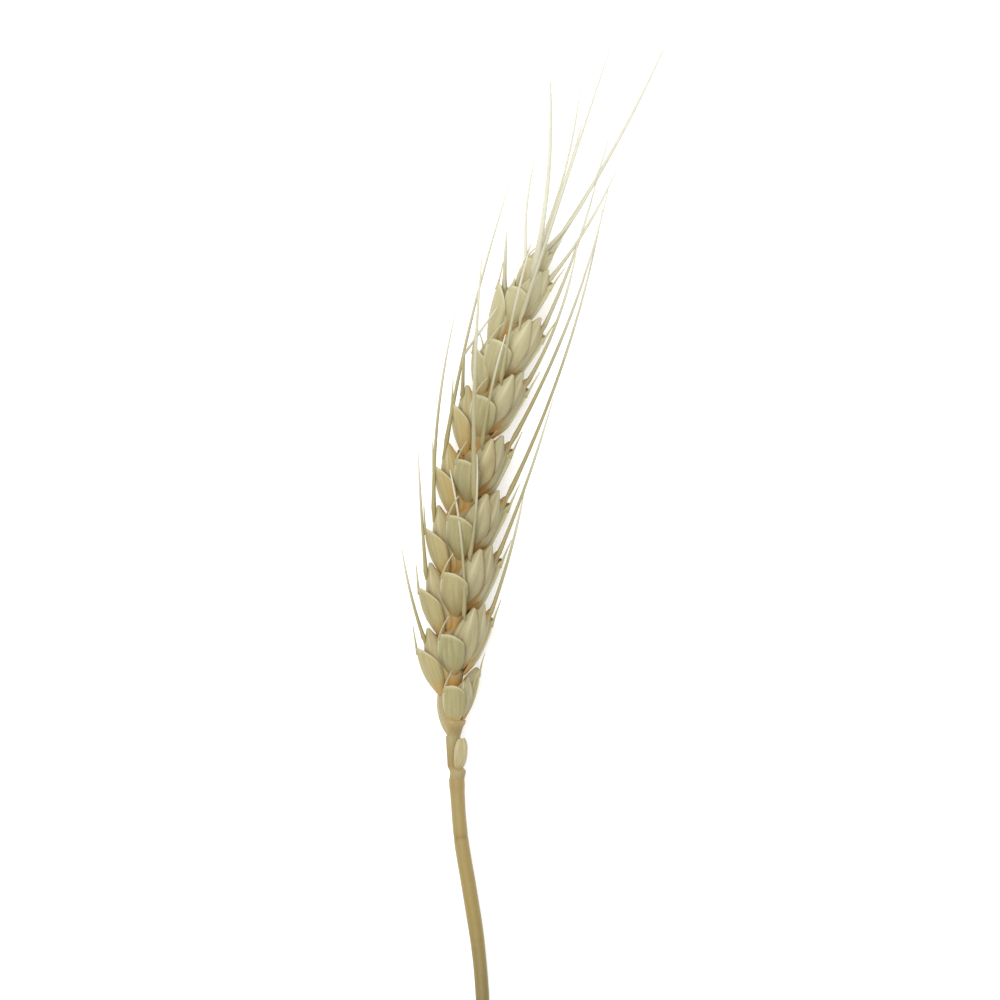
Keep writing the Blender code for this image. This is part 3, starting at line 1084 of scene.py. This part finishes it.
@dataclass
class Spikelets:
    """All glumes, florets and bristles of the ear.

    Feet and tips are (up the ear, out from the rachis, sideways) millimetres at full size.
    """

    glume_foot: tuple = (-0.4, 0.8, 1.0)
    glume_tip: tuple = (7.1, 3.5, 4.4)
    glume_turn: float = 24.0
    glume_keel: float = 0.55
    glume_belly: float = 0.5
    beak_places: tuple = (0.60, 0.86)
    beak_sunk: float = 0.9
    beak_length: float = 3.5
    beak_girths: tuple = (0.28, 0.07)
    beak_rows: int = 9
    beak_slowing: float = 0.6
    beak_curl: float = 0.75
    under_beak_lean: float = 0.6
    floret_foot: tuple = (0.6, 0.9, 0.5)
    floret_tip: tuple = (10.2, 4.9, 2.9)
    floret_follow: float = 0.6
    under_turn: float = 38.0
    under_spread: float = 0.96
    # under_tip_glow and inner_glow are painted glow, as of light through the thin husks.
    under_tip_glow: float = 0.55
    inner_glow: float = 0.8
    # Painted light that lifts the shaded inner skin of the lowest under glumes.
    inner_painted_light: float = 0.9
    middle_foot: tuple = (1.6, 1.5, 0.0)
    middle_tip: tuple = (11.0, 5.4, 0.2)
    middle_size: float = 1.08
    palea_ends: tuple = (0.05, 0.93)
    palea_sides: int = 16
    palea_lowest: float = 0.1
    palea_width: float = 0.90
    palea_back: float = 0.7
    palea_front: float = 0.97
    bract_foot: tuple = (0.0, 0.6, 0.0)
    bract_tip: tuple = (7.0, 2.0, 0.0)
    bristle_rows: int = 29
    bristle_places: tuple = (0.0, 0.07, 0.14, 0.3, 0.75, 1.0)
    bristle_girths: tuple = (0.14, 0.40, 0.31, 0.25, 0.18, 0.09)
    thread_sides: int = 6
    right_shade: float = 0.36
    left_shade: float = 0.60
    gold: float = 0.35
    gold_length: float = 14.0
    shade_scatter: float = 0.26
    husk_bleach: tuple = (9.0, 44.0, 0.8)
    bristle_bleach: tuple = (18.0, 54.0, 0.9)
    scatter: random.Random = field(default_factory=lambda: random.Random(7))
    shades: random.Random = field(default_factory=lambda: random.Random(11))

    def __post_init__(self) -> None:
        """Start the mesh of each kind of piece."""
        kinds = ("glumes", "lemmas", "paleas", "bracts", "bristles")
        self.makers = {kind: MeshMaker(kind) for kind in kinds}

    def lay_out(self) -> None:
        """Put every spikelet on the ear."""
        for plan in PLANS:
            foot = Foot(plan, self.scatter)
            if plan.sterile:
                self._bract(foot)
                continue
            for flip, bristle in ((1.0, plan.upper), (-1.0, plan.under)):
                self._glume(foot, flip)
                self._floret(foot, flip, bristle)
            self._middle_floret(foot)

    def _own(self, foot: Foot) -> tuple[float, int]:
        """A husk's own shade and wrinkles: the left rank is a little warmer, most so in mid-ear.

        Args:
            foot: foot of its spikelet.

        Returns:
            The shade from 0 to 1, and the wrinkles' seed.
        """
        gold = self.gold * math.exp(-(foot.plan.foot_y / self.gold_length) ** 2)
        middle = self.left_shade + gold if foot.plan.rank is Rank.LEFT else self.right_shade
        shade = middle + self.shades.uniform(-self.shade_scatter, self.shade_scatter)
        shade = min(1.0, max(0.0, shade))
        return shade, self.shades.randrange(9999)

    def _bract(self, foot: Foot) -> None:
        """One sterile bract.

        Args:
            foot: where the bract stands.
        """
        husk = Husk(foot.place(self.bract_foot), foot.place(self.bract_tip),
                    foot.facing(foot.plan.rank.value.bract_turn, 1.0), BRACT.sized(foot.size),
                    self._own(foot))
        self.makers["bracts"].shell(husk.surface())

    def _glume(self, foot: Foot, flip: float) -> None:
        """One glume with its keel, truncated shoulder and beak.

        Args:
            foot: foot of its spikelet.
            flip: 1 for the upper side, -1 for the under one.
        """
        plan, lie, upper = foot.plan, foot.plan.rank.value, flip > 0.0
        up, out, sideways = self.glume_foot
        start = foot.place((up, lie.glume_foot_out if upper else out, sideways), flip)
        up, out, sideways = self.glume_tip
        if upper:
            start = start + (*plan.glume_shift, 0.0)
            end = foot.place((up + lie.glume_rise, out, sideways), flip)
            form, fullness, belly = GLUME, 1.0, 0.0
        else:
            end = foot.place((up + lie.under_glume_rise, out, sideways), flip, lie.under_glume_spread)
            form, fullness = replace(GLUME, back=lie.under_glume_back), plan.fullness
            belly = lie.belly * self.glume_belly * fullness
        keel = self.glume_keel if plan.rank is Rank.LEFT and not upper else -self.glume_keel
        # Towards the ear's base the inner skin's painted glow fades and painted light lifts its shade
        # instead.
        husk = Husk(start, start + (end - start) * plan.glumes, foot.facing(self.glume_turn, flip),
                    form.sized(foot.size, plan.slim), self._own(foot), keel,
                    lie.foot_glow if upper else lie.under_glow, inner_glow=self.inner_glow * fullness,
                    inner_painted_light=self.inner_painted_light - self.inner_painted_light * fullness, belly=belly,
                    shoulder_rise=lie.shoulder_rise)
        self.makers["glumes"].shell(husk.surface())
        self._beak(foot, husk, lie.beak_lean * (1.0 if upper else self.under_beak_lean))

    def _beak(self, foot: Foot, glume: Husk, lean: float) -> None:
        """The beak that a glume's keel ends in, curving outwards by its lean.

        Args:
            foot: foot of its spikelet.
            glume: the glume.
            lean: how far it leans away from the rachis.
        """
        below, root = (glume.point(glume.keel, place) for place in self.beak_places)
        way = unit(root - below)
        share = np.linspace(0.0, 1.0, self.beak_rows)[:, None]
        reach = self.beak_length * foot.size
        path = (root - way * self.beak_sunk * (1.0 - share)
                + way * share * reach * (1.0 - share * self.beak_slowing)
                + unit(foot.along + foot.out * lean) * reach * self.beak_curl * share ** 2)
        thick, thin = self.beak_girths
        girths = (thick + (thin - thick) * share[:, 0] ** 0.7) * foot.size
        self.makers["glumes"].tube(Thread(path, girths, self.thread_sides, glume.shade, 0.9).surface())

    def _floret(self, foot: Foot, flip: float, bristle: Bristle | None) -> None:
        """One outer floret: its lemma, the palea inside it, and its bristle.

        Args:
            foot: foot of its spikelet.
            flip: 1 for the upper side, -1 for the under one.
            bristle: its bristle, where it has one.
        """
        plan, lie, upper = foot.plan, foot.plan.rank.value, flip > 0.0
        up, out, sideways = self.floret_foot
        base = foot.place((up, out, lie.floret_foot_side if upper else sideways), flip)
        if upper:
            base = base + np.array((*plan.glume_shift, 0.0)) * self.floret_follow
            up, out, _ = self.floret_tip
            end = foot.place((up + lie.floret_rise, out, lie.floret_side), flip, lie.floret_spread)
            glow, tip_glow, belly, root_spread = lie.foot_glow, 0.0, 0.0, lie.root_spread
        else:
            end = foot.place(self.floret_tip, flip, self.under_spread)
            glow, tip_glow, belly = lie.under_glow, self.under_tip_glow, lie.belly * plan.fullness
            root_spread = lie.under_root_spread
        husk = Husk(base, base + (end - base) * plan.florets,
                    foot.facing(lie.floret_turn if upper else self.under_turn, flip),
                    LEMMA.sized(foot.size, plan.slim), self._own(foot), foot_glow=glow,
                    tip_glow=tip_glow, belly=belly)
        self._clasped(husk)
        if bristle:
            start = foot.place(self.floret_foot, flip)
            chord = foot.place(self.floret_tip, flip, root_spread) - start
            self._bristle(start + chord * (plan.florets * (1.0 - bristle.sunk)), husk, bristle)

    def _middle_floret(self, foot: Foot) -> None:
        """The floret between the two outer ones.

        Args:
            foot: foot of its spikelet.
        """
        plan, lie = foot.plan, foot.plan.rank.value
        start = foot.place(self.middle_foot)
        end = foot.place((*self.middle_tip[:2], lie.middle_side))
        self._clasped(Husk(start, start + (end - start) * lie.middle_reach * plan.florets, foot.out,
                           LEMMA.sized(foot.size * self.middle_size, plan.slim), self._own(foot)))

    def _clasped(self, lemma: Husk) -> None:
        """A lemma and the closed inner husk, the palea, that it clasps.

        Args:
            lemma: the lemma.
        """
        self.makers["lemmas"].shell(lemma.surface())
        start, end = (lemma.foot + lemma.line * place for place in self.palea_ends)
        place = np.linspace(0.0, 1.0, self.palea_sides)[:, None]
        angles = turns(self.palea_sides)
        full = np.sin(math.pi * np.clip(place * 0.94 + 0.03, 0.0, 1.0)) ** 0.6
        width = lemma.form.half_width * self.palea_width * full
        depth = np.where(np.sin(angles) > 0.0, lemma.form.back * self.palea_back,
                         lemma.form.front * self.palea_front) * full
        middle = start + (end - start) * place[..., None]
        points = oval(middle, lemma.side, lemma.out, width, depth, angles)
        points[..., 2] = np.maximum(points[..., 2], self.palea_lowest)
        # Painted glow, strongest at the palea's foot, as of light through the husks around it.
        self.makers["paleas"].tube(Surface(points, place, np.cos(angles), lemma.shade,
                                           0.75 - 0.35 * place, 0.0))

    def _bristle(self, start: Array, husk: Husk, bristle: Bristle) -> None:
        """One bristle, bowed sideways or bent at its kink, rooted on its husk's nearest skin.

        Args:
            start: where its line begins.
            husk: the lemma that it grows on.
            bristle: its plan.
        """
        tip = np.array(bristle.tip)
        share = np.linspace(0.0, 1.0, self.bristle_rows)[:, None]
        if bristle.kink:
            kink = np.array(bristle.kink)
            first = start + (kink - start) * np.clip(share * 2.0, 0.0, 1.0)
            path = first + (tip - kink) * np.clip(share * 2.0 - 1.0, 0.0, 1.0)
        else:
            chord = tip - start
            arch = 4.0 * share * (1.0 - share)
            path = start + chord * share + unit(np.cross(chord, UP)) * bristle.bow * arch
        path[0] = husk.nearest(start)
        girths = np.interp(share[:, 0], self.bristle_places, self.bristle_girths) * bristle.girth
        thread = Thread(path, girths, self.thread_sides, husk.shade, bristle.pale)
        self.makers["bristles"].tube(thread.surface())

    def build(self) -> None:
        """Make the objects of all husks and bristles, paler towards the ear's tip."""
        finishes = {
            "glumes": HuskFinish("glume_paper", srgb(148, 144, 103), srgb(178, 163, 110)),
            # The lemmas carry the strongest painted shade in their seams, over a wide band near their
            # edges.
            "lemmas": HuskFinish("lemma_paper", srgb(159, 154, 121), srgb(176, 161, 110), 11.0, 0.025,
                                 seam_shade=0.85, seam_shade_start=0.17, grain=0.42),
            # The paleas' orange is partly their own colour and partly painted glow, brightened to show in
            # the shaded gaps.
            "paleas": HuskFinish("palea_paper", srgb(196, 168, 106), srgb(204, 170, 100), 5.0),
            "bracts": HuskFinish("bract_paper", srgb(194, 181, 138), srgb(152, 139, 93)),
            "bristles": BristleFinish(),
        }
        for kind in ("glumes", "lemmas", "paleas"):
            self.makers[kind].bleach(*self.husk_bleach)
        self.makers["bristles"].bleach(*self.bristle_bleach)
        for kind, finish in finishes.items():
            self.makers[kind].build(finish, "chaff", "head")


@dataclass
class Rachis:
    """The ear's jointed stalk: internodes that widen upwards, each ending under a spikelet.

    `narrow` and `wide` are half (width, depth) of an internode's foot and head. It is thicker but
    held in below `base_y`, and grows deeper between the heights in `deepening_span`.
    """

    foot_radius: float = 1.22
    overlap: float = 0.3
    narrow: tuple = (1.10, 0.75)
    wide: tuple = (1.55, 1.05)
    step: float = 0.9
    zigzag: float = 0.35
    turn: float = math.radians(40.0)
    thickening: float = 0.6
    taper: float = 12.0
    deepening: float = 0.5
    deepening_span: tuple = (-30.0, 0.0)
    base_y: float = -36.0
    base_share: float = 0.80
    base_width: float = 1.25
    base_glow: float = 0.25
    tip: tuple = (3.0, 0.0, 0.25, 0.2, 0.5, 0.0)
    groove: float = 0.035
    groove_count: float = 7.0
    ring_step: float = 0.45
    length: float = 80.0
    sides: int = 20

    def _ring(self, y: float, shift: float, half_width: float, half_depth: float) -> Array:
        """Oval ring at height `y`, moved out towards the rank that it carries.

        Args:
            y: height in millimetres.
            shift: how far it is moved.
            half_width: half its width.
            half_depth: half its depth.

        Returns:
            The points.
        """
        here, along, right = AXIS.at(y)
        out = right * math.cos(self.turn) + np.cross(right, along) * math.sin(self.turn)
        angles = turns(self.sides, 0.5)
        groove = 1.0 + self.groove * np.cos(angles * self.groove_count)
        return oval(here + out * shift, np.cross(along, out), out, half_width * groove,
                    half_depth * groove, angles)

    def _stations(self) -> list[tuple]:
        """Height, shift, half width, half depth, glow and paleness at each end of each internode.

        Returns:
            The stations from the collar to the ear's tip.
        """
        foot_y = AXIS.collar
        stations = [(foot_y - self.overlap, 0.0, self.foot_radius, self.foot_radius, 0.25, 0.2)]
        for plan in PLANS:
            shift = self.zigzag if plan.rank is Rank.RIGHT else -self.zigzag
            girth = 1.0 + self.thickening * math.exp((foot_y - plan.foot_y) / self.taper)
            # glow is painted glow: full where each internode narrows between the spikelets, half where it
            # widens, and base_glow below base_y.
            most, glow = math.inf, 1.0
            if plan.foot_y < self.base_y:
                girth *= self.base_share
                most, glow = self.base_width, self.base_glow
            deep = girth * (1.0 + self.deepening * smooth_step(plan.foot_y, *self.deepening_span))
            for y, way, (width, depth), glow_here, pale in (
                    (plan.foot_y, 1.0, self.wide, glow * 0.5, 0.5),
                    (plan.foot_y + self.step, -1.0, self.narrow, glow, 0.0)):
                stations.append((y, shift * way, min(width * girth, most), depth * deep, glow_here, pale))
        stations.append((PLANS[-1].foot_y + self.tip[0], *self.tip[1:]))
        return stations

    def build(self) -> None:
        """Make the rachis."""
        rows = []
        stations = self._stations()
        for low, high in zip(stations, stations[1:]):
            steps = max(2, round((high[0] - low[0]) / self.ring_step))
            for share in np.arange(steps) / steps:
                even = smooth_step(share, 0.0, 1.0)
                rows.append((low[0] + (high[0] - low[0]) * share,
                             *(start + (end - start) * even for start, end in zip(low[1:], high[1:]))))
        rings = np.array([self._ring(*row[:4]) for row in rows])
        heights, _, _, _, glow, pale = (np.array(column)[:, None] for column in zip(*rows))
        maker = MeshMaker("rachis")
        maker.tube(Surface(rings, (heights - AXIS.collar) / self.length, np.cos(turns(self.sides)), 0.5,
                           glow, pale))
        maker.build(StalkFinish(), "chaff", "head")


@dataclass
class Straw:
    """The straw from its hollow cut end up to the bead under the ear."""

    heights: tuple = (-90.0, -74.0, -67.0, -55.0, -50.0, -46.8)
    girths: tuple = (1.07, 1.09, 1.18, 1.16, 1.12, 1.16)
    knee_y: float = -53.8
    knee_depth: float = 0.05
    knee_width: float = 0.25
    knee_glow: float = 0.45
    bead_radius: float = 1.24
    bead_rise: tuple = (2.42, 0.99)
    bead_glow: float = 0.12
    hollow_radius: float = 0.62
    hollow_depth: float = 7.0
    groove: float = 0.012
    groove_count: float = 16.0
    ring_step: float = 0.6
    fine_length: float = 4.0
    fine_step: float = 0.12
    sides: int = 48

    def _radius(self, y: float) -> float:
        """Outer radius at height `y`.

        Args:
            y: height in millimetres.

        Returns:
            The radius in millimetres.
        """
        radius = np.interp(y, self.heights, self.girths)
        crease = self.knee_depth * math.exp(-((y - self.knee_y) / self.knee_width) ** 2)
        share = smooth_step(y, *(AXIS.collar - below for below in self.bead_rise))
        return radius - crease + (self.bead_radius - radius) * share

    def _ring(self, y: float, radius: float, groove: float = 0.0) -> Array:
        """Ring round the axis at height `y`.

        Args:
            y: height in millimetres.
            radius: its radius.
            groove: depth of the fine grooves as a share of the radius.

        Returns:
            The points.
        """
        here, along, right = AXIS.at(y)
        angles = turns(self.sides)
        girth = radius * (1.0 + groove * np.cos(angles * self.groove_count))
        return oval(here, right, np.cross(right, along), girth, girth, angles)

    def build(self) -> None:
        """Make the straw, from the bottom of its hollow out over the cut and up to the bead."""
        end, top = AXIS.cut_end, AXIS.collar
        bottom = end + self.hollow_depth
        rings = [self._ring(bottom, self.hollow_radius * 0.4), self._ring(bottom - 0.4, self.hollow_radius),
                 self._ring(end + 0.1, self.hollow_radius)]
        heights, glows = [bottom, bottom - 0.4, end], [0.9, 0.9, 0.4]
        fine = top - self.fine_length
        for y in np.concatenate(([end + 0.02], np.arange(end + 0.12, fine, self.ring_step),
                                 np.arange(fine, top + 0.05, self.fine_step))):
            rings.append(self._ring(y, self._radius(y), self.groove))
            heights.append(y)
            # Browner just under the bead and at the knee.
            glows.append(math.exp(-((y - (top - 0.9)) / 1.1) ** 2) * self.bead_glow
                         + math.exp(-((y - self.knee_y) / 0.3) ** 2) * self.knee_glow)
        points = np.array(rings)
        points[..., 2] = np.maximum(points[..., 2], 0.0)
        along, glow = (np.array(heights)[:, None] - end) / (top - end), np.array(glows)[:, None]
        maker = MeshMaker("straw")
        maker.tube(Surface(points, along, np.cos(turns(self.sides)), 0.5, glow, 0.0))
        maker.build(StrawFinish(), "straw", "stem")


@dataclass
class Studio:
    """Pale surface, soft light and the camera that looks straight down."""

    distance: float = 2.5
    sensor: float = 36.0
    floor_size: float = 12.0
    world_strength: float = 0.50
    key_place: tuple = (-0.5, 0.3, 3.0)
    key_power: float = 84.0
    key_size: float = 2.2

    def build(self) -> None:
        """Make the floor, the light and the camera."""
        scene = bpy.context.scene
        scene.view_settings.view_transform = "Standard"
        half = self.floor_size / 2.0
        mesh = bpy.data.meshes.new("floor")
        mesh.from_pydata([(-half, -half, 0.0), (half, -half, 0.0), (half, half, 0.0), (-half, half, 0.0)],
                         [], [(0, 1, 2, 3)])
        mesh.materials.append(FloorFinish().material())
        floor = bpy.data.objects.new("floor", mesh)
        scene.collection.objects.link(floor)
        world = bpy.data.worlds.new("soft_room")
        world.use_nodes = True
        sky = world.node_tree.nodes["Background"]
        sky.inputs["Color"].default_value = (1.0, 1.0, 1.0, 1.0)
        sky.inputs["Strength"].default_value = self.world_strength
        scene.world = world
        lamp = bpy.data.lights.new("key", "AREA")
        lamp.energy = self.key_power
        lamp.size = self.key_size
        key = bpy.data.objects.new("key", lamp)
        key.location = self.key_place
        key.rotation_mode = "QUATERNION"
        key.rotation_quaternion = (-Vector(self.key_place)).to_track_quat("-Z", "Y")
        scene.collection.objects.link(key)
        lens = bpy.data.cameras.new("camera")
        lens.sensor_width = self.sensor
        lens.lens = self.sensor * (self.distance - AXIS.height * MM) / (VIEW_WIDTH * MM)
        lens.clip_start, lens.clip_end = 0.1, 100.0
        camera = bpy.data.objects.new("camera", lens)
        camera.location = (*(VIEW_MIDDLE[:2] * MM), self.distance)
        scene.collection.objects.link(camera)
        scene.camera = camera


def main() -> None:
    """Build the straw, the rachis, the spikelets and the studio in turn."""
    logging.basicConfig(level=logging.INFO, format="%(message)s")
    Straw().build()
    Rachis().build()
    spikelets = Spikelets()
    spikelets.lay_out()
    spikelets.build()
    Studio().build()


if __name__ == "__main__":
    main()
